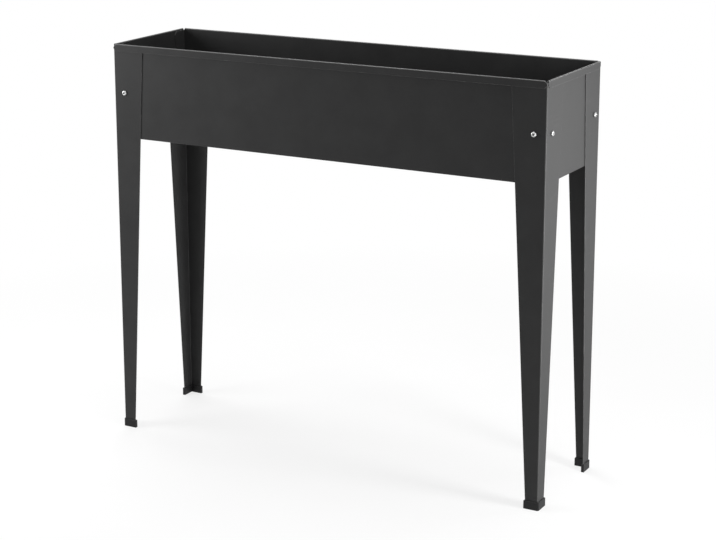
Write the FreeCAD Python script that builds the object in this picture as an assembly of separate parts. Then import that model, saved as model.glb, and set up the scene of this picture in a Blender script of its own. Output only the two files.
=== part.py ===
import FreeCAD, Part
import math
import os

# Raised garden bed: a trough of folded sheet steel on four tapered angle legs.
# Millimetres, +Z up. The origin is on the floor under the middle of the trough.
# X runs along the trough and the front is at -Y.

# Overall size
LENGTH = 930.0  # over the rim, along X
DEPTH = 250.0  # over the rim, along Y
HEIGHT = 800.0  # floor to the top of the rim

# Trough walls
SHEET = 1.0  # wall thickness
BEND = 1.0  # inside radius of the bottom and corner bends
TROUGH_DEPTH = 188.0  # top of the rim to the underside
RIM_SKIRT = 14.0  # height of the rim, down to the foot of its skirt
SKIRT_CHAMFER = 5.0  # lower corners of the skirt
SKIRT_INSET = 1.5  # a long wall's skirt stops this far before the outer corner
BOTTOM_FLANGE = 10.0  # inward flange that carries the base
RETURN_WIDTH = 34.0  # corner return of a long wall, behind the end wall
RETURN_CHAMFER = 6.0  # free corners of the return
CORNER_RELIEF = 0.5  # folds stop this far before a corner bend

# Base
BASE_SHEET = 1.0
DRAIN_DIAMETER = 10.0
DRAIN_PITCH = 300.0  # along the trough
DRAIN_ROWS = 110.0  # between the two rows
DRAIN_MARGIN = 60.0  # least distance from a hole to the end of the base

# Legs
LEG_SHEET = 1.5
LEG_BEND = 0.5  # inside radius of the angle
LONG_FLANGE_TOP = 69.0  # flange on the long wall, width at the rim
LONG_FLANGE_FOOT = 25.0  # and at the floor
END_FLANGE_TOP = 72.0  # flange on the end wall, width at the rim
END_FLANGE_FOOT = 27.0  # and at the floor

# Foot caps
CAP_WALL = 2.0
CAP_FLOOR = 3.0
CAP_HEIGHT = 16.0
CAP_EDGE = 0.6  # bevel of the cap's outer edges

# Fasteners: M6 button heads with hex sockets, and flanged hex nuts
BOLT_DROP = 97.0  # top of the rim to the bolt's axis
BOLT_INSET = 24.0  # outer corner of the leg to the bolt's axis
BOLT_DIAMETER = 6.0
BOLT_TAIL = 2.0  # thread past the nut
HEAD_DIAMETER = 10.5
HEAD_HEIGHT = 3.3
HEAD_CROWN = 6.6  # diameter of the head's flat top
SOCKET_WIDTH = 4.0  # across flats
SOCKET_DEPTH = 2.1
NUT_WIDTH = 10.0  # across flats
NUT_HEIGHT = 6.0
NUT_FLANGE_DIAMETER = 14.0
NUT_FLANGE_HEIGHT = 1.4

# Fits
RIM_CLEARANCE = 0.2  # between a leg and the rim's skirt
LEG_TOP_CLEARANCE = 2.4  # between a leg's top and the rim's bend
EDGE_CLEARANCE = 0.5  # between an end wall's edge and the leg's inside bend
BASE_CLEARANCE = 0.5  # round the base
RETURN_CLEARANCE = 1.5  # between a return and the base or the rim's bend
CAP_CLEARANCE = 0.15  # round the leg in its cap
HOLE_CLEARANCE = 0.6  # on the diameter of a bolt hole
THREAD_CLEARANCE = 0.1  # on the diameter of a nut's bore

# The rim folds over the top of a leg
RIM_GAP = LEG_SHEET + RIM_CLEARANCE
RIM_INNER = RIM_GAP / 2
RIM_OUTER = RIM_INNER + SHEET

# Outer faces of the walls and of the legs
WALL_X = LENGTH / 2 - SHEET - RIM_GAP
WALL_Y = DEPTH / 2 - SHEET - RIM_GAP
LEG_X = WALL_X + LEG_SHEET
LEG_Y = WALL_Y + LEG_SHEET

# Bends and levels of the trough
BEND_OUTER = BEND + SHEET
FLAT_X = WALL_X - SHEET - BEND_OUTER  # a long wall's flat ends here
EDGE_Y = WALL_Y - LEG_BEND - EDGE_CLEARANCE  # an end wall's edge
UNDERSIDE = HEIGHT - TROUGH_DEPTH
BASE_TOP = UNDERSIDE + SHEET + BASE_SHEET
RIM_SPRING = HEIGHT - RIM_OUTER  # the rim's bend starts here
SKIRT_BOTTOM = HEIGHT - RIM_SKIRT
BOLT_Z = HEIGHT - BOLT_DROP
LEG_TOP = RIM_SPRING - LEG_TOP_CLEARANCE

HOLE_DIAMETER = BOLT_DIAMETER + HOLE_CLEARANCE
BEYOND = 5.0  # how far a cutting solid reaches past what it cuts

V = FreeCAD.Vector
UP = V(0, 0, 1)
CORNERS = {
    "front_left": (-1, -1),
    "front_right": (1, -1),
    "rear_left": (-1, 1),
    "rear_right": (1, 1),
}
SIDES = {
    "front": V(0, -1, 0),
    "rear": V(0, 1, 0),
    "left": V(-1, 0, 0),
    "right": V(1, 0, 0),
}


def line(start, end):
    return Part.LineSegment(start, end).toShape()


def arc(centre, radius, start, end, across, up):
    """Edge of a circle from one angle to another, in degrees, in the plane of two axes."""

    def at(angle):
        turn = math.radians(angle)
        return centre + across * (radius * math.cos(turn)) + up * (radius * math.sin(turn))

    return Part.Arc(at(start), at((start + end) / 2), at(end)).toShape()


def face(edges):
    return Part.Face(Part.Wire(edges))


def polygon(points):
    return Part.Face(Part.makePolygon(points + points[:1]))


def cylinder(diameter, start, end):
    return Part.makeCylinder(diameter / 2, (end - start).Length, start, end - start)


def hexagon(width, bottom, height):
    """Hexagonal prism along Z, with its width across flats."""
    radius = width / math.sqrt(3)
    angles = [math.radians(60 * k) for k in range(6)]
    points = [V(radius * math.cos(a), radius * math.sin(a), bottom) for a in angles]
    return polygon(points).extrude(UP * height)


def wall_section():
    """Section of a trough wall at x = 0: y = 0 is its outer face and +Y is outward."""
    out = V(0, 1, 0)

    def at(y, z):
        return V(0, y, z)

    rim = at(RIM_INNER, RIM_SPRING)
    bend = at(-BEND_OUTER, UNDERSIDE + BEND_OUTER)
    floor = UNDERSIDE + SHEET
    skirt = RIM_GAP + SHEET
    return face(
        [
            line(at(-BOTTOM_FLANGE, UNDERSIDE), at(-BEND_OUTER, UNDERSIDE)),
            arc(bend, BEND_OUTER, -90, 0, out, UP),
            line(at(0, UNDERSIDE + BEND_OUTER), at(0, RIM_SPRING)),
            arc(rim, RIM_INNER, 180, 0, out, UP),
            line(at(RIM_GAP, RIM_SPRING), at(RIM_GAP, SKIRT_BOTTOM)),
            line(at(RIM_GAP, SKIRT_BOTTOM), at(skirt, SKIRT_BOTTOM)),
            line(at(skirt, SKIRT_BOTTOM), at(skirt, RIM_SPRING)),
            arc(rim, RIM_OUTER, 0, 180, out, UP),
            line(at(-SHEET, RIM_SPRING), at(-SHEET, UNDERSIDE + BEND_OUTER)),
            arc(bend, BEND, 0, -90, out, UP),
            line(at(-BEND_OUTER, floor), at(-BOTTOM_FLANGE, floor)),
            line(at(-BOTTOM_FLANGE, floor), at(-BOTTOM_FLANGE, UNDERSIDE)),
        ]
    )


def wall_blank(half, fold_half, skirt_half):
    """Folded wall from -half to half along X, with half lengths for its rim's fold and skirt."""
    wall = wall_section().extrude(V(2 * half, 0, 0))
    wall.translate(V(-half, 0, 0))
    skirt_height = RIM_SPRING - SKIRT_BOTTOM
    skirt = Part.makeBox(2 * skirt_half, SHEET, skirt_height, V(-skirt_half, RIM_GAP, SKIRT_BOTTOM))
    wall = wall.fuse(skirt)
    for side in (-1, 1):
        wall = wall.cut(flange_mitre(half, side))
        wall = wall.cut(mirrored(rim_end(fold_half, skirt_half), side, 1))
    return wall.removeSplitter()


def flange_mitre(half, side):
    """Waste at one end of the bottom flange: 45 degrees in from the end of the wall."""
    inner = BOTTOM_FLANGE + BEYOND
    low = UNDERSIDE - BEYOND
    start = half - CORNER_RELIEF
    corners = [
        V(side * (start + BEYOND), BEYOND, low),
        V(side * (start - inner), -inner, low),
        V(side * (half + BEYOND), -inner, low),
    ]
    return polygon(corners).extrude(UP * (BEND_OUTER + BEYOND))


def corner_return():
    """Return at the +X end of a long wall: bent inward, flat against the end wall."""
    bend = V(FLAT_X, -BEND_OUTER, 0)
    across = V(1, 0, 0)
    out = V(0, 1, 0)
    inside = FLAT_X + BEND
    outside = FLAT_X + BEND_OUTER
    section = face(
        [
            arc(bend, BEND_OUTER, 90, 0, across, out),
            line(V(outside, -BEND_OUTER, 0), V(outside, -RETURN_WIDTH, 0)),
            line(V(outside, -RETURN_WIDTH, 0), V(inside, -RETURN_WIDTH, 0)),
            line(V(inside, -RETURN_WIDTH, 0), V(inside, -BEND_OUTER, 0)),
            arc(bend, BEND, 0, 90, across, out),
            line(V(FLAT_X, -SHEET, 0), V(FLAT_X, 0, 0)),
        ]
    )
    bottom = UNDERSIDE + SHEET + max(BEND, BASE_SHEET) + RETURN_CLEARANCE
    top = RIM_SPRING - RETURN_CLEARANCE
    flap = section.extrude(UP * (top - bottom))
    flap.translate(UP * bottom)
    for level, way in ((bottom, 1), (top, -1)):
        tip = [
            V(inside - BEYOND, -RETURN_WIDTH - BEYOND, level - way * BEYOND),
            V(inside - BEYOND, -RETURN_WIDTH + RETURN_CHAMFER + BEYOND, level - way * BEYOND),
            V(inside - BEYOND, -RETURN_WIDTH - BEYOND, level + way * (RETURN_CHAMFER + BEYOND)),
        ]
        flap = flap.cut(polygon(tip).extrude(V(SHEET + 2 * BEYOND, 0, 0)))
    hole_y = LEG_SHEET - BOLT_INSET
    hole = cylinder(HOLE_DIAMETER, V(inside - BEYOND, hole_y, BOLT_Z), V(outside + BEYOND, hole_y, BOLT_Z))
    return flap.cut(hole)


def rim_end(fold_half, skirt_half):
    """Waste at the +X end of a wall's rim: square over its fold, 45 degrees at the skirt's corners."""
    far = skirt_half + 2 * BEYOND
    top = HEIGHT + BEYOND
    low = SKIRT_BOTTOM - BEYOND
    spring = V(fold_half, 0, RIM_SPRING)
    fold = [spring, V(far, 0, RIM_SPRING), V(far, 0, top), V(fold_half, 0, top)]
    upper = [spring, V(far, 0, RIM_SPRING + fold_half - far), V(far, 0, RIM_SPRING)]
    lower = [
        V(skirt_half - SKIRT_CHAMFER - BEYOND, 0, low),
        V(far, 0, SKIRT_BOTTOM + SKIRT_CHAMFER + far - skirt_half),
        V(far, 0, low),
    ]
    end = [V(skirt_half, 0, low), V(far, 0, low), V(far, 0, top), V(skirt_half, 0, top)]
    waste = polygon(fold).extrude(V(0, RIM_GAP + 2 * BEYOND, 0))
    waste.translate(V(0, -BEYOND, 0))
    for outline in (upper, lower, end):
        outside = polygon(outline).extrude(V(0, RIM_GAP + BEYOND, 0))
        outside.translate(V(0, RIM_INNER, 0))
        waste = waste.fuse(outside)
    return waste


def mirrored(shape, x, y):
    """The shape made for the +X +Y corner, moved to the corner with the given signs."""
    origin = V(0, 0, 0)
    if x < 0:
        shape = shape.mirror(origin, V(1, 0, 0))
    if y < 0:
        shape = shape.mirror(origin, V(0, 1, 0))
    return shape


def bolt_holes(shape, inset):
    """Cuts a wall's two bolt holes, which lie at +-inset along X."""
    for x in (-inset, inset):
        shape = shape.cut(cylinder(HOLE_DIAMETER, V(x, -BEYOND, BOLT_Z), V(x, BEYOND, BOLT_Z)))
    return shape


def turned(shape, angle, move):
    """Turns a wall about Z and moves it out to its side of the trough."""
    shape.rotate(V(0, 0, 0), UP, angle)
    shape.translate(move)
    return shape


def long_wall():
    wall = wall_blank(FLAT_X, FLAT_X - CORNER_RELIEF, LENGTH / 2 - SKIRT_INSET)
    for side in (-1, 1):
        wall = wall.fuse(mirrored(corner_return(), side, 1))
    return bolt_holes(wall.removeSplitter(), LEG_X - BOLT_INSET)


def end_wall():
    rim_half = EDGE_Y - CORNER_RELIEF
    wall = wall_blank(EDGE_Y, rim_half, rim_half)
    return bolt_holes(wall, LEG_Y - BOLT_INSET)


def base_panel():
    half_x = WALL_X - SHEET - BEND - BASE_CLEARANCE
    half_y = WALL_Y - SHEET - BEND - BASE_CLEARANCE
    bottom = UNDERSIDE + SHEET
    base = Part.makeBox(2 * half_x, 2 * half_y, BASE_SHEET, V(-half_x, -half_y, bottom))
    spaces = math.floor(2 * (half_x - DRAIN_MARGIN) / DRAIN_PITCH)
    for row in (-1, 1):
        for k in range(spaces + 1):
            x = (k - spaces / 2) * DRAIN_PITCH
            y = row * DRAIN_ROWS / 2
            base = base.cut(cylinder(DRAIN_DIAMETER, V(x, y, bottom - BEYOND), V(x, y, BASE_TOP + BEYOND)))
    return base


def angle_section(long_width, end_width, grow, outer_radius, inner_radius, z):
    """Section of a leg in its +X +Y corner, grown all round: its flanges run to -X and -Y."""
    outer_x = LEG_X + grow
    outer_y = LEG_Y + grow
    inner_x = LEG_X - LEG_SHEET - grow
    inner_y = LEG_Y - LEG_SHEET - grow
    tip_x = LEG_X - long_width - grow
    tip_y = LEG_Y - end_width - grow
    across = V(1, 0, 0)
    back = V(0, 1, 0)
    outer = V(outer_x - outer_radius, outer_y - outer_radius, z)
    inner = V(inner_x - inner_radius, inner_y - inner_radius, z)
    return face(
        [
            line(V(tip_x, outer_y, z), V(outer.x, outer_y, z)),
            arc(outer, outer_radius, 90, 0, across, back),
            line(V(outer_x, outer.y, z), V(outer_x, tip_y, z)),
            line(V(outer_x, tip_y, z), V(inner_x, tip_y, z)),
            line(V(inner_x, tip_y, z), V(inner_x, inner.y, z)),
            arc(inner, inner_radius, 0, 90, across, back),
            line(V(inner.x, inner_y, z), V(tip_x, inner_y, z)),
            line(V(tip_x, inner_y, z), V(tip_x, outer_y, z)),
        ]
    )


def flange_width(foot, top, z):
    """Width of a tapered flange at a level."""
    return foot + (top - foot) * z / HEIGHT


def leg():
    """Leg of the +X +Y corner: an angle whose two free edges taper to the foot."""
    height = LEG_TOP - CAP_FLOOR
    long_blank = max(LONG_FLANGE_TOP, LONG_FLANGE_FOOT)
    end_blank = max(END_FLANGE_TOP, END_FLANGE_FOOT)
    section = angle_section(long_blank, end_blank, 0, LEG_BEND + LEG_SHEET, LEG_BEND, CAP_FLOOR)
    solid = section.extrude(UP * height)
    sheet = LEG_SHEET + LEG_BEND / 2
    taper_x = [
        V(LEG_X - LONG_FLANGE_FOOT, LEG_Y - sheet, 0),
        V(LEG_X - LONG_FLANGE_TOP, LEG_Y - sheet, HEIGHT),
        V(LEG_X - long_blank - BEYOND, LEG_Y - sheet, HEIGHT),
        V(LEG_X - long_blank - BEYOND, LEG_Y - sheet, 0),
    ]
    taper_y = [
        V(LEG_X - sheet, LEG_Y - END_FLANGE_FOOT, 0),
        V(LEG_X - sheet, LEG_Y - END_FLANGE_TOP, HEIGHT),
        V(LEG_X - sheet, LEG_Y - end_blank - BEYOND, HEIGHT),
        V(LEG_X - sheet, LEG_Y - end_blank - BEYOND, 0),
    ]
    solid = solid.cut(polygon(taper_x).extrude(V(0, sheet + BEYOND, 0)))
    solid = solid.cut(polygon(taper_y).extrude(V(sheet + BEYOND, 0, 0)))
    for outward in (SIDES["rear"], SIDES["right"]):
        point = bolt_seats(outward)[-1]
        solid = solid.cut(cylinder(HOLE_DIAMETER, point - outward * BEYOND, point + outward * BEYOND))
    return solid


def foot_cap():
    """Cap of the +X +Y leg: an L-shaped cup round the foot of the angle."""
    long_width = flange_width(LONG_FLANGE_FOOT, LONG_FLANGE_TOP, CAP_HEIGHT)
    end_width = flange_width(END_FLANGE_FOOT, END_FLANGE_TOP, CAP_HEIGHT)
    leg_radius = LEG_BEND + LEG_SHEET
    grow = CAP_CLEARANCE + CAP_WALL
    outside = angle_section(long_width, end_width, grow, leg_radius + grow, LEG_BEND, 0)
    inside = angle_section(
        long_width, end_width, CAP_CLEARANCE, leg_radius + CAP_CLEARANCE, LEG_BEND - CAP_CLEARANCE, CAP_FLOOR
    )
    body = outside.extrude(UP * CAP_HEIGHT)
    top_edges = [e for e in body.Edges if e.BoundBox.ZMin > CAP_HEIGHT / 2]
    body = body.makeChamfer(CAP_EDGE, top_edges)
    return body.cut(inside.extrude(UP * CAP_HEIGHT))


def bolt_seats(outward):
    """Where the two bolts of one side seat on the outer faces of its legs."""
    along = V(LEG_X - BOLT_INSET, 0, 0) if outward.x == 0 else V(0, LEG_Y - BOLT_INSET, 0)
    middle = V(outward.x * LEG_X, outward.y * LEG_Y, BOLT_Z)
    return [middle - along, middle + along]


def grip_length(outward):
    """Thickness that a side's bolts clamp: on the end walls they also hold the returns."""
    walls = 1 if outward.x == 0 else 2
    return LEG_SHEET + walls * SHEET


def bolt(grip):
    """Button-head bolt along Z: its head stands on z = 0 and its shank goes down."""
    head = Part.makeCone(HEAD_DIAMETER / 2, HEAD_CROWN / 2, HEAD_HEIGHT)
    socket = hexagon(SOCKET_WIDTH, HEAD_HEIGHT - SOCKET_DEPTH, SOCKET_DEPTH + BEYOND)
    length = grip + NUT_HEIGHT + BOLT_TAIL
    shank = cylinder(BOLT_DIAMETER, V(0, 0, 0), UP * -length)
    return head.cut(socket).fuse(shank).removeSplitter()


def nut(grip):
    """Hex nut with a flange that bears on the innermost sheet."""
    seat = UP * -grip
    bottom = -grip - NUT_HEIGHT
    flange = cylinder(NUT_FLANGE_DIAMETER, seat - UP * NUT_FLANGE_HEIGHT, seat)
    block = hexagon(NUT_WIDTH, bottom, NUT_HEIGHT).fuse(flange)
    bore = cylinder(BOLT_DIAMETER + THREAD_CLEARANCE, UP * (bottom - BEYOND), UP * BEYOND)
    return block.cut(bore).removeSplitter()


def fasteners(make, outward):
    """One fastener of a kind at each bolt of a side, as a group of solids."""
    placed = []
    for point in bolt_seats(outward):
        piece = make(grip_length(outward))
        piece.Placement = FreeCAD.Placement(point, FreeCAD.Rotation(UP, outward))
        placed.append(piece)
    return Part.makeCompound(placed)


def build():
    """All pieces by name."""
    pieces = {
        "front_panel": turned(long_wall(), 180, V(0, -WALL_Y, 0)),
        "rear_panel": turned(long_wall(), 0, V(0, WALL_Y, 0)),
        "left_end_panel": turned(end_wall(), 90, V(-WALL_X, 0, 0)),
        "right_end_panel": turned(end_wall(), -90, V(WALL_X, 0, 0)),
        "base_panel": base_panel(),
    }
    for corner, (x, y) in CORNERS.items():
        pieces["leg_" + corner] = mirrored(leg(), x, y)
        pieces["foot_cap_" + corner] = mirrored(foot_cap(), x, y)
    for side, outward in SIDES.items():
        pieces["bolts_" + side] = fasteners(bolt, outward)
        pieces["nuts_" + side] = fasteners(nut, outward)
    return pieces


os.makedirs("parts", exist_ok=True)
for name, shape in build().items():
    shape.exportStep("parts/" + name + ".step")
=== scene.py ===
import math

import bmesh
import bpy
from mathutils import Matrix, Vector


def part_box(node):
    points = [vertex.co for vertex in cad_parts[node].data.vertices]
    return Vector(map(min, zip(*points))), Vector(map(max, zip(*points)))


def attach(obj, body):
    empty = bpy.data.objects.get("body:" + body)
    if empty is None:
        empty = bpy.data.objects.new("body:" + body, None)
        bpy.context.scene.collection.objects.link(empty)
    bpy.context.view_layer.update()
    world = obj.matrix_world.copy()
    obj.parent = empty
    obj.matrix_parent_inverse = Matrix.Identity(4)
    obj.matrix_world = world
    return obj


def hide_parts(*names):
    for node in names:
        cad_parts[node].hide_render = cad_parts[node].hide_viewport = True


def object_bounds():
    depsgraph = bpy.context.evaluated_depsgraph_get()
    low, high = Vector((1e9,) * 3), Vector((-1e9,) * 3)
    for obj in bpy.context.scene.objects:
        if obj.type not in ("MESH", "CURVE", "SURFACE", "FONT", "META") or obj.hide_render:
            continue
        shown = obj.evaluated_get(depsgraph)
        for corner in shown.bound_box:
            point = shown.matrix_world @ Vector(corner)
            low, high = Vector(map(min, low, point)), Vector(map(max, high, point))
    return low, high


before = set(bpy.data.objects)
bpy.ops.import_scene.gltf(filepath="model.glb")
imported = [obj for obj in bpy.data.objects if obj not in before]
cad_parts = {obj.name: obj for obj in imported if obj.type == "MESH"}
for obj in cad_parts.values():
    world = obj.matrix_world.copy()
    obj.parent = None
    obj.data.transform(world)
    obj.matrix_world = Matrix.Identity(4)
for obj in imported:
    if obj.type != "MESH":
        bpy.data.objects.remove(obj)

CAD_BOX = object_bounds()
MM = 0.001
BODY = "root"

# The photograph's camera: where it stands, in metres, how it is turned, in degrees, and its lens
EYE = Vector((1.73007, -3.12375, 1.35973))
AZIMUTH = 30.4933
ELEVATION = 13.7860
ROLL = -0.4482
LENS = 94.5879
SENSOR = 36.0
SHIFT = (0.08, -0.08)

# Soft lamps: name, place and aim in metres, width and height in metres, power in watts
LAMPS = (
    ("right", (0.95, -0.1, 0.55), (0.46, -0.1, 0.5), (0.14, 0.9), 6),
    ("rear_right", (1.9, 1.4, 0.5), (0.46, 0.0, 0.42), (0.7, 0.9), 12),
    ("rear_left", (-0.95, 0.6, 2.7), (0.1, 0.0, 0.7), (1.2, 0.9), 44),
    ("top", (0.15, -0.2, 2.6), (0.05, 0.0, 0.7), (1.2, 0.8), 22),
    ("left", (-1.32, -0.7, 0.93), (-0.4, 0.0, 0.6), (0.7, 0.8), 12.5),
)
FILL_LIGHT = (0.1, 0.1, 0.1, 1)
WHITE = (1, 1, 1, 1)

# The floor, in metres: half its width, how far it lies under the feet, and where it turns white
FLOOR_HALF = 30.0
FLOOR_DROP = 0.0003
SHADOW_NEAR = 0.4
SHADOW_FAR = 1.6
WHITE_NEAR = 0.76
WHITE_FAR = 1.0

# Sheet pieces get the soft edges that a powder coat leaves, with their width in millimetres
PANELS = ("front_panel", "rear_panel", "left_end_panel", "right_end_panel", "base_panel")
PANEL_EDGE = 0.22
LEGS = ("leg_front_left", "leg_front_right", "leg_rear_left", "leg_rear_right")
LEG_EDGE = 0.28
CAPS = ("foot_cap_front_left", "foot_cap_front_right", "foot_cap_rear_left", "foot_cap_rear_right")
CAP_EDGE = 0.28
EDGE_SEGMENTS = 3
ROUND_PROFILE = 0.5
SHARP_ANGLE = math.radians(30)
FLAT_ANGLE = math.radians(0.6)
FLAT_NORMAL = math.cos(math.radians(4))
WELD = 1e-6

# An edge is rubbed where its normal leans out or up by more than this; on the coat it is painted paler,
# partly for wear and partly as a painted highlight
RUBBED_FROM = 0.1

# How strongly a bend gets a painted highlight, a paler and glossier coat, from 0 to 1
RIM_HIGHLIGHT = 1.0
LEG_HIGHLIGHT = 0.6

# Of a panel's bends only the rim's get the painted highlight: those this near to the top, in
# millimetres
RIM_DEPTH = 20.0

# Colours, and how far wear and painted highlight on edges, painted highlight on bends and painted shade
# in sockets and on bolt flanks change a finish
COAT_DARK = (0.037, 0.037, 0.0372)
COAT_LIGHT = (0.043, 0.043, 0.0432)
COAT_FLECK = (0.052, 0.052, 0.052)
# Pale coat colour for rubbed edges, partly wear and partly painted highlight, and for the painted
# highlight on bends
COAT_WEAR_AND_HIGHLIGHT = (0.3, 0.3, 0.3)
WEAR_AND_HIGHLIGHT_SHARE = 0.85
# How far a bend's colour goes to the pale one, as a painted highlight
BEND_HIGHLIGHT_SHARE = 0.3
THIN_GLOSS = 0.15
ZINC_DARK = (0.44, 0.445, 0.45)
ZINC_LIGHT = (0.62, 0.62, 0.61)
# Zinc's painted shade: a darker colour for the sockets and the head flanks near the brim
ZINC_SHADE = (0.11, 0.11, 0.112)
DULL_ROUGHNESS = 0.25
CAP_DARK = (0.008, 0.008, 0.0085)
CAP_LIGHT = (0.012, 0.012, 0.0125)
CAP_RUBBED = (0.035, 0.035, 0.035)
CAP_WEAR = 0.35
FLOOR_DARK = (0.86, 0.86, 0.86)
FLOOR_LIGHT = (0.9, 0.9, 0.9)

# Most of a noise's values lie between these two
NOISE_LOW = 0.3
NOISE_HIGH = 0.7

# Sockets of the mix node that belong to colours
MIX_INPUTS = (0, 6, 7)
MIX_RESULT = 2

# M6 fasteners, in millimetres
SIDES = {
    "front": Vector((0, -1, 0)),
    "rear": Vector((0, 1, 0)),
    "left": Vector((-1, 0, 0)),
    "right": Vector((1, 0, 0)),
}
RING = 48
HEX_TURN = math.pi / 3
CRISP_ANGLE = math.radians(35)
HEAD_RADIUS = 5.25
HEAD_HEIGHT = 3.3
HEAD_BRIM = 0.4
HEAD_CHAMFER = 0.25
CROWN_RADIUS = 2.9
SOCKET_FLATS = 4.0
SOCKET_DEPTH = 2.1
SOCKET_LEAD = 0.25
SOCKET_MOUTH = 0.1
DRILL_RADIUS = 0.3
DRILL_DEPTH = 0.5
DOME_STEPS = 9
FLANK_STEPS = 7
# Painted shade on the head flank, strongest at the brim
FLANK_SHADE = 0.9
THREAD_RADIUS = 3.0
THREAD_ROOT = 2.55
THREAD_PITCH = 1.0
TIP_RADIUS = 2.2
TIP_LENGTH = 0.8
NUT_FLATS = 10.0
NUT_HEIGHT = 6.0
NUT_CHAMFER = 0.6
NUT_STEP = 0.1
NUT_FLANGE_RADIUS = 7.0
NUT_FLANGE_HEIGHT = 1.4
NUT_FLANGE_SIDE = 0.8
NUT_FLANGE_SLOPE = 0.5
NUT_FLANGE_CHAMFER = 0.25
NUT_BORE = 3.05
NUT_BORE_LEAD = 0.5
NUT_SEAT_LEAD = 0.3


def add_object(name, data):
    """New object in the scene."""
    made = bpy.data.objects.new(name, data)
    bpy.context.scene.collection.objects.link(made)
    return made


def smooth_mesh(bm, name, angle=None):
    """Object from a bmesh, smooth shaded, with edges sharper than the angle kept crisp."""
    mesh = bpy.data.meshes.new(name)
    bm.to_mesh(mesh)
    bm.free()
    mesh.polygons.foreach_set("use_smooth", [True] * len(mesh.polygons))
    if angle is not None:
        mesh.set_sharp_from_angle(angle=angle)
    return add_object(name, mesh)


def is_rubbed(face):
    """Whether a face looks up or away from the middle of the object, where the coat gets rubbed and is
    painted paler, partly as a highlight.
    """
    centre = face.calc_center_median()
    outward = [face.normal[i] * math.copysign(1, centre[i]) for i in range(2)]
    return max(*outward, face.normal.z) > RUBBED_FROM


def soft_edged(node, name, width, bend_highlight=0.0, bend_from=0.0):
    """Copy of a CAD node with flat faces joined and its sharp edges rounded.

    Rubbed edges are marked for wear, which on the coat is also a painted highlight, and bends above the
    height bend_from, in metres, are marked for a painted highlight by the given share.
    """
    bm = bmesh.new()
    bm.from_mesh(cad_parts[node].data)
    edge_mark = bm.faces.layers.float.new("edge")
    bent = bm.faces.layers.float.new("bend_highlight")
    bmesh.ops.remove_doubles(bm, verts=bm.verts, dist=WELD)
    bmesh.ops.dissolve_limit(bm, angle_limit=FLAT_ANGLE, verts=bm.verts, edges=bm.edges)
    closed = [edge for edge in bm.edges if len(edge.link_faces) == 2]
    rounded = bmesh.ops.bevel(
        bm,
        geom=[edge for edge in closed if edge.calc_face_angle(0) > SHARP_ANGLE],
        offset=width * MM,
        offset_type="OFFSET",
        segments=EDGE_SEGMENTS,
        profile=ROUND_PROFILE,
        affect="EDGES",
        clamp_overlap=False,
    )
    bm.normal_update()
    edge_faces = set(rounded["faces"])
    for face in bm.faces:
        curved = max(abs(part) for part in face.normal) < FLAT_NORMAL
        if face in edge_faces:
            face[edge_mark] = float(is_rubbed(face))
        elif curved and face.calc_center_median().z > bend_from:
            face[bent] = bend_highlight
    piece = smooth_mesh(bm, name)
    piece.modifiers.new("flat_faces", "WEIGHTED_NORMAL").keep_sharp = True
    return piece


def ring(bm, place, radius, height, flats=None):
    """One ring of vertices round a fastener's axis: a circle, or a hexagon with the given flats."""
    points = []
    for k in range(RING):
        turn = 2 * math.pi * k / RING
        reach = radius
        if flats is not None:
            off = (turn % HEX_TURN) - HEX_TURN / 2
            reach = flats / 2 / math.cos(off)
        point = Vector((reach * math.cos(turn), reach * math.sin(turn), height)) * MM
        points.append(bm.verts.new(place @ point))
    return points


def loft(bm, rings, closed, shade_share=None):
    """Skins rings in their order. A closed loft joins its last ring to its first.

    Walls get painted shade, darker and rougher, by the share under their number where it is a key, and
    the first cap as much as the first wall.
    """
    shade_share = shade_share or {}
    shade_layer = bm.faces.layers.float["painted_shade"]
    pairs = list(zip(rings, rings[1:]))
    if closed:
        pairs.append((rings[-1], rings[0]))
    else:
        bm.faces.new(rings[0])[shade_layer] = shade_share.get(0, 0.0)
        bm.faces.new(rings[-1])
    for index, (low, high) in enumerate(pairs):
        for k in range(RING):
            n = (k + 1) % RING
            wall = bm.faces.new((low[k], low[n], high[n], high[k]))
            wall[shade_layer] = shade_share.get(index, 0.0)


def seats(side):
    """The two bolt axes of a side: frames with Z outward and the origin on the leg's face."""
    outward = SIDES[side]
    low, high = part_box("bolts_" + side)
    middle = (low + high) / 2
    outer = [high[i] if outward[i] > 0 else low[i] for i in range(3)]
    top = Vector([outer[i] if outward[i] else middle[i] for i in range(3)])
    along = Vector((1, 0, 0)) if outward.x == 0 else Vector((0, 1, 0))
    reach = (high - low).dot(along) / 2 - HEAD_RADIUS * MM
    turn = outward.to_track_quat("Z", "Y").to_matrix().to_4x4()
    seat = top - outward * HEAD_HEIGHT * MM
    return [Matrix.Translation(seat + along * s * reach) @ turn for s in (-1, 1)]


def depth_of(side, node):
    """How far a node reaches inward from the bolt seats of a side, in millimetres."""
    outward = SIDES[side]
    low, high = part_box(node)
    seat = seats(side)[0].translation.dot(outward)
    return (seat - min(low.dot(outward), high.dot(outward))) / MM


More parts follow.
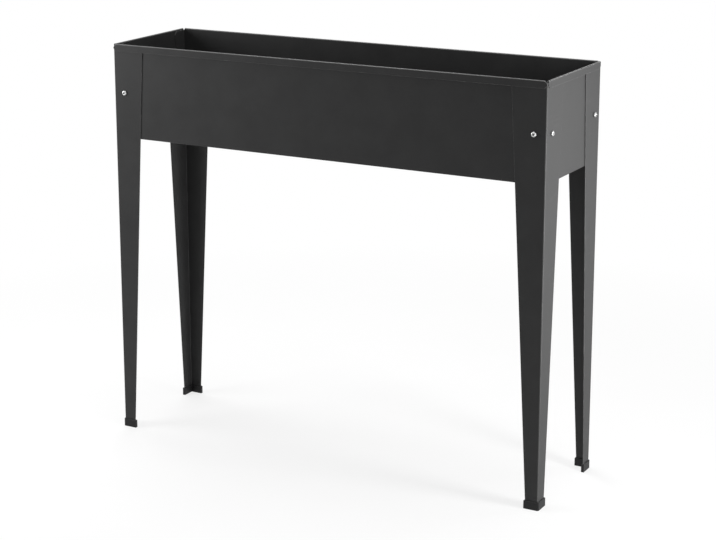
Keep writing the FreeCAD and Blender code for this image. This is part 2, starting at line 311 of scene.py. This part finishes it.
def bolts(side):
    """Button heads with hex sockets and threaded shanks, with painted shade, darker and rougher, in the
    socket and on the flank near the brim.
    """
    bm = bmesh.new()
    bm.faces.layers.float.new("painted_shade")
    length = depth_of(side, "bolts_" + side)
    socket = HEAD_HEIGHT - SOCKET_DEPTH
    mouth = SOCKET_FLATS / 2 / math.cos(HEX_TURN / 2) + SOCKET_MOUTH
    for place in seats(side):
        rings = [
            ring(bm, place, DRILL_RADIUS, socket - DRILL_DEPTH),
            ring(bm, place, 0, socket, SOCKET_FLATS),
            ring(bm, place, 0, HEAD_HEIGHT - SOCKET_LEAD, SOCKET_FLATS),
            ring(bm, place, mouth, HEAD_HEIGHT),
        ]
        for k in range(DOME_STEPS + 1):
            turn = math.pi / 2 * k / DOME_STEPS
            radius = CROWN_RADIUS + (HEAD_RADIUS - CROWN_RADIUS) * math.sin(turn)
            height = HEAD_BRIM + (HEAD_HEIGHT - HEAD_BRIM) * math.cos(turn)
            rings.append(ring(bm, place, radius, height))
        brim = len(rings) - 1
        # Painted shade: full in the socket, and on the flank fading from the brim upward
        shade_share = {0: 1.0, 1: 1.0}
        for k in range(FLANK_STEPS):
            shade_share[brim - k] = FLANK_SHADE * (1 - (k / FLANK_STEPS) ** 2)
        rings.append(ring(bm, place, HEAD_RADIUS - HEAD_CHAMFER, 0))
        rings.append(ring(bm, place, THREAD_RADIUS, 0))
        height = -THREAD_PITCH / 2
        while height > TIP_LENGTH - length:
            rings.append(ring(bm, place, THREAD_RADIUS, height))
            rings.append(ring(bm, place, THREAD_ROOT, height - THREAD_PITCH / 2))
            height -= THREAD_PITCH
        rings.append(ring(bm, place, TIP_RADIUS, -length))
        loft(bm, rings, closed=False, shade_share=shade_share)
    bmesh.ops.recalc_face_normals(bm, faces=bm.faces)
    return smooth_mesh(bm, side + "_bolts", CRISP_ANGLE)


def nuts(side):
    """Flanged hex nuts with chamfered corners, against the innermost sheet."""
    bm = bmesh.new()
    bm.faces.layers.float.new("painted_shade")
    seat = NUT_HEIGHT - depth_of(side, "nuts_" + side)
    profile = (
        (NUT_BORE + NUT_SEAT_LEAD, 0, None),
        (NUT_FLANGE_RADIUS - NUT_FLANGE_CHAMFER, 0, None),
        (NUT_FLANGE_RADIUS, -NUT_FLANGE_CHAMFER, None),
        (NUT_FLANGE_RADIUS, -NUT_FLANGE_SIDE, None),
        (NUT_FLANGE_RADIUS - NUT_FLANGE_SLOPE, -NUT_FLANGE_HEIGHT, None),
        (0, -NUT_FLANGE_HEIGHT - NUT_STEP, NUT_FLATS),
        (0, -NUT_HEIGHT + NUT_CHAMFER, NUT_FLATS),
        (NUT_FLATS / 2 - NUT_STEP, -NUT_HEIGHT, None),
        (NUT_BORE + NUT_BORE_LEAD, -NUT_HEIGHT, None),
        (NUT_BORE, -NUT_HEIGHT + NUT_BORE_LEAD, None),
        (NUT_BORE, -NUT_SEAT_LEAD, None),
    )
    for place in seats(side):
        rings = [ring(bm, place, radius, seat + height, flats) for radius, height, flats in profile]
        loft(bm, rings, closed=True)
    bmesh.ops.recalc_face_normals(bm, faces=bm.faces)
    return smooth_mesh(bm, side + "_nuts", CRISP_ANGLE)


class Graph:
    """A material's node tree, with short calls for what the materials share."""

    def __init__(self, name):
        self.material = bpy.data.materials.new(name)
        self.material.use_nodes = True
        self.tree = self.material.node_tree
        self.shader = self.tree.nodes["Principled BSDF"]
        self.output = self.tree.nodes["Material Output"]
        self.coords = self.add("ShaderNodeTexCoord").outputs["Object"]

    def add(self, kind, **settings):
        """New node with the given settings."""
        node = self.tree.nodes.new(kind)
        for key, value in settings.items():
            setattr(node, key, value)
        return node

    def feed(self, socket, value):
        """Links an input to another socket, or sets it to a plain value."""
        if isinstance(value, bpy.types.NodeSocket):
            self.tree.links.new(value, socket)
        else:
            socket.default_value = value

    def set(self, node, **inputs):
        """Feeds inputs by name, with _ for a space."""
        for key, value in inputs.items():
            self.feed(node.inputs[key.replace("_", " ")], value)
        return node

    def attribute(self, name):
        """A mark that the mesh carries on its faces, from 0 to 1."""
        return self.add("ShaderNodeAttribute", attribute_name=name).outputs["Fac"]

    def noise(self, scale, detail=2.0, roughness=0.5, stretch=None):
        """Noise in the object's own coordinates."""
        coords = self.coords
        if stretch is not None:
            mapping = self.set(self.add("ShaderNodeMapping"), Vector=coords, Scale=stretch)
            coords = mapping.outputs["Vector"]
        node = self.add("ShaderNodeTexNoise")
        self.set(node, Vector=coords, Scale=scale, Detail=detail, Roughness=roughness)
        return node.outputs["Fac"]

    def ranged(self, value, low, high, to_low, to_high):
        """A value's span from low to high, moved to another span."""
        node = self.add("ShaderNodeMapRange")
        self.set(node, Value=value, From_Min=low, From_Max=high, To_Min=to_low, To_Max=to_high)
        return node.outputs["Result"]

    def math(self, operation, first, second):
        """One sum of two values."""
        node = self.add("ShaderNodeMath", operation=operation)
        for socket, value in zip(node.inputs, (first, second)):
            self.feed(socket, value)
        return node.outputs["Value"]

    def colours(self, noise, first, second):
        """Two colours that run into each other by a noise."""
        ramp = self.add("ShaderNodeValToRGB")
        ramp.color_ramp.elements[0].color = (*first, 1)
        ramp.color_ramp.elements[1].color = (*second, 1)
        factor = self.ranged(noise, low=NOISE_LOW, high=NOISE_HIGH, to_low=0.0, to_high=1.0)
        return self.set(ramp, Fac=factor).outputs["Color"]

    def mixed(self, factor, first, second):
        """Mix from a colour that a socket gives to a plain one."""
        node = self.add("ShaderNodeMix", data_type="RGBA")
        for index, value in zip(MIX_INPUTS, (factor, first, (*second, 1))):
            self.feed(node.inputs[index], value)
        return node.outputs[MIX_RESULT]

    def bump(self, height, distance, strength, normal=None):
        """Normal from a height, over another normal if there is one."""
        node = self.add("ShaderNodeBump")
        self.set(node, Height=height, Distance=distance, Strength=strength)
        if normal is not None:
            self.set(node, Normal=normal)
        return node.outputs["Normal"]


def powder_coat():
    """Satin charcoal powder coat: fine orange peel, cloudy gloss, faint rubs, edges paler for wear and
    as a painted highlight, and a painted highlight on bends.
    """
    g = Graph("powder_coat_satin")
    peel = g.noise(scale=620, detail=3.0)
    sweep = g.noise(scale=5.5)
    cloud = g.noise(scale=17, detail=4.0, roughness=0.6)
    speck = g.noise(scale=1500, detail=1.0)
    rub = g.noise(scale=9, detail=6.0, roughness=0.7, stretch=(1.0, 1.0, 6.0))
    patch = g.noise(scale=38, detail=5.0, roughness=0.7)
    bend_highlight = g.attribute("bend_highlight")
    edge_patches = g.ranged(patch, low=0.42, high=0.62, to_low=0.4, to_high=1.0)
    edge_mark = g.math("MULTIPLY", g.attribute("edge"), edge_patches)
    body = g.colours(cloud, COAT_DARK, COAT_LIGHT)
    fleck = g.ranged(speck, low=0.66, high=0.8, to_low=0.0, to_high=0.35)
    flecked = g.mixed(fleck, body, COAT_FLECK)
    # Rubbed edges are painted paler, partly wear and partly painted highlight; rim and leg bends get a
    # painted highlight
    edge_wear_and_highlight = g.math("MULTIPLY", edge_mark, WEAR_AND_HIGHLIGHT_SHARE)
    painted_bend_highlight = g.math("MULTIPLY", bend_highlight, BEND_HIGHLIGHT_SHARE)
    colour = g.mixed(g.math("MAXIMUM", edge_wear_and_highlight, painted_bend_highlight), flecked, COAT_WEAR_AND_HIGHLIGHT)
    satin = g.ranged(cloud, low=0.25, high=0.75, to_low=0.37, to_high=0.47)
    polish = g.ranged(rub, low=0.58, high=0.72, to_low=0.0, to_high=0.07)
    thin = g.math("MULTIPLY", g.math("MAXIMUM", edge_mark, bend_highlight), THIN_GLOSS)
    rough = g.math("SUBTRACT", g.math("SUBTRACT", satin, polish), thin)
    wave = g.bump(sweep, distance=0.0012, strength=0.16)
    normal = g.bump(peel, distance=0.00012, strength=0.38, normal=wave)
    g.set(g.shader, Base_Color=colour, Roughness=rough, Normal=normal, Specular_IOR_Level=0.12)
    return g.material


def zinc():
    """Bright zinc plate: cloudy crystals, a fine grain, and painted shade, darker and rougher, in the
    sockets and on the head flanks.
    """
    g = Graph("zinc_bright")
    crystal = g.noise(scale=900, detail=4.0, roughness=0.6)
    grain = g.noise(scale=2600)
    painted_shade = g.attribute("painted_shade")
    # Sockets and head flanks get painted shade, a darker colour, and more roughness
    colour = g.mixed(painted_shade, g.colours(crystal, ZINC_DARK, ZINC_LIGHT), ZINC_SHADE)
    plate = g.ranged(crystal, low=0.3, high=0.7, to_low=0.26, to_high=0.4)
    rough = g.math("ADD", plate, g.math("MULTIPLY", painted_shade, DULL_ROUGHNESS))
    normal = g.bump(grain, distance=0.00002, strength=0.2)
    g.set(g.shader, Base_Color=colour, Roughness=rough, Normal=normal, Metallic=1.0)
    return g.material


def cap_plastic():
    """Moulded black plastic with a fine spark-eroded grain and paler rubbed edges."""
    g = Graph("cap_plastic_moulded")
    grain = g.noise(scale=2100)
    cloud = g.noise(scale=120, detail=4.0, roughness=0.6)
    body = g.colours(cloud, CAP_DARK, CAP_LIGHT)
    colour = g.mixed(g.math("MULTIPLY", g.attribute("edge"), CAP_WEAR), body, CAP_RUBBED)
    rough = g.ranged(cloud, low=0.25, high=0.75, to_low=0.46, to_high=0.6)
    normal = g.bump(grain, distance=0.00006, strength=0.5)
    g.set(g.shader, Base_Color=colour, Roughness=rough, Normal=normal, Specular_IOR_Level=0.25)
    return g.material


def dress(piece, node, material):
    """Gives a piece its material and its body, and hides the CAD node it stands for."""
    piece.data.materials.clear()
    piece.data.materials.append(material)
    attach(piece, BODY)
    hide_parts(node)


def build_object():
    """Coated sheet pieces, moulded caps and zinc-plated fasteners in place of all CAD nodes."""
    coat, steel, plastic = powder_coat(), zinc(), cap_plastic()
    rim_from = CAD_BOX[1][2] - RIM_DEPTH * MM
    for node in PANELS:
        panel = soft_edged(node, "coated_" + node, PANEL_EDGE, RIM_HIGHLIGHT, rim_from)
        dress(panel, node, coat)
    for node in LEGS:
        leg = soft_edged(node, "coated_" + node, LEG_EDGE, LEG_HIGHLIGHT)
        dress(leg, node, coat)
    for node in CAPS:
        cap = soft_edged(node, "moulded_" + node, CAP_EDGE)
        dress(cap, node, plastic)
    for side in SIDES:
        dress(bolts(side), "bolts_" + side, steel)
        dress(nuts(side), "nuts_" + side, steel)


def background_rays(tree):
    """1 for rays that show the background itself: camera, glossy and transmission rays."""
    path = tree.nodes.new("ShaderNodeLightPath")
    total = path.outputs["Is Camera Ray"]
    for name in ("Is Glossy Ray", "Is Transmission Ray"):
        join = tree.nodes.new("ShaderNodeMath")
        join.operation = "MAXIMUM"
        tree.links.new(total, join.inputs[0])
        tree.links.new(path.outputs[name], join.inputs[1])
        total = join.outputs["Value"]
    return total


def show_white(tree, share, shaded, white, output):
    """Shows the white shader by the given share, and the shaded one for the rest."""
    mix = tree.nodes.new("ShaderNodeMixShader")
    for socket, source in zip(mix.inputs, (share, shaded.outputs[0], white.outputs[0])):
        tree.links.new(source, socket)
    tree.links.new(mix.outputs[0], output.inputs["Surface"])


def build_floor():
    """Pale floor that keeps the shadow near the object and turns white further out."""
    mesh = bpy.data.meshes.new("floor")
    signs = ((-1, -1), (1, -1), (1, 1), (-1, 1))
    corners = [(x * FLOOR_HALF, y * FLOOR_HALF, -FLOOR_DROP) for x, y in signs]
    mesh.from_pydata(corners, [], [(0, 1, 2, 3)])
    floor = add_object("floor", mesh)
    g = Graph("floor_pale")
    colour = g.colours(g.noise(scale=3.0, detail=4.0), FLOOR_DARK, FLOOR_LIGHT)
    g.set(g.shader, Base_Color=colour, Roughness=0.9, Specular_IOR_Level=0.1)
    length = g.set(g.add("ShaderNodeVectorMath", operation="LENGTH"), Vector=g.coords)
    far = g.ranged(length.outputs["Value"], SHADOW_NEAR, SHADOW_FAR, WHITE_NEAR, WHITE_FAR)
    share = g.math("MULTIPLY", far, background_rays(g.tree))
    show_white(g.tree, share, g.shader, g.add("ShaderNodeEmission"), g.output)
    mesh.materials.append(g.material)


def softbox(name, at, aim, size, power):
    """Rectangular lamp that looks from one point to another."""
    lamp = bpy.data.lights.new(name, "AREA")
    lamp.shape = "RECTANGLE"
    lamp.size, lamp.size_y = size
    lamp.energy = power
    light = add_object(name, lamp)
    light.location = at
    light.rotation_mode = "QUATERNION"
    light.rotation_quaternion = (Vector(aim) - Vector(at)).to_track_quat("-Z", "Y")


def build_light():
    """Soft lamps, and a world that is white to look at but lights the object dimly."""
    for name, at, aim, size, power in LAMPS:
        softbox(name, at, aim, size, power)
    world = bpy.data.worlds.new("studio")
    bpy.context.scene.world = world
    world.use_nodes = True
    tree = world.node_tree
    fill = tree.nodes["Background"]
    fill.inputs["Color"].default_value = FILL_LIGHT
    white = tree.nodes.new("ShaderNodeBackground")
    white.inputs["Color"].default_value = WHITE
    show_white(tree, background_rays(tree), fill, white, tree.nodes["World Output"])


def build_camera():
    """Camera at the photograph's viewing angle."""
    azimuth, elevation, roll = (math.radians(angle) for angle in (AZIMUTH, ELEVATION, ROLL))
    back = Vector(
        (
            math.sin(azimuth) * math.cos(elevation),
            -math.cos(azimuth) * math.cos(elevation),
            math.sin(elevation),
        )
    )
    level = Vector((math.cos(azimuth), math.sin(azimuth), 0))
    upright = back.cross(level)
    right = level * math.cos(roll) + upright * math.sin(roll)
    up = upright * math.cos(roll) - level * math.sin(roll)
    data = bpy.data.cameras.new("camera")
    data.sensor_width = SENSOR
    data.lens = LENS
    data.shift_x, data.shift_y = SHIFT
    camera = add_object("camera", data)
    turn = Matrix((right, up, back)).transposed().to_4x4()
    camera.matrix_world = Matrix.Translation(EYE) @ turn
    bpy.context.scene.camera = camera


build_object()
build_floor()
build_light()
build_camera()
bpy.context.scene.view_settings.view_transform = "Standard"
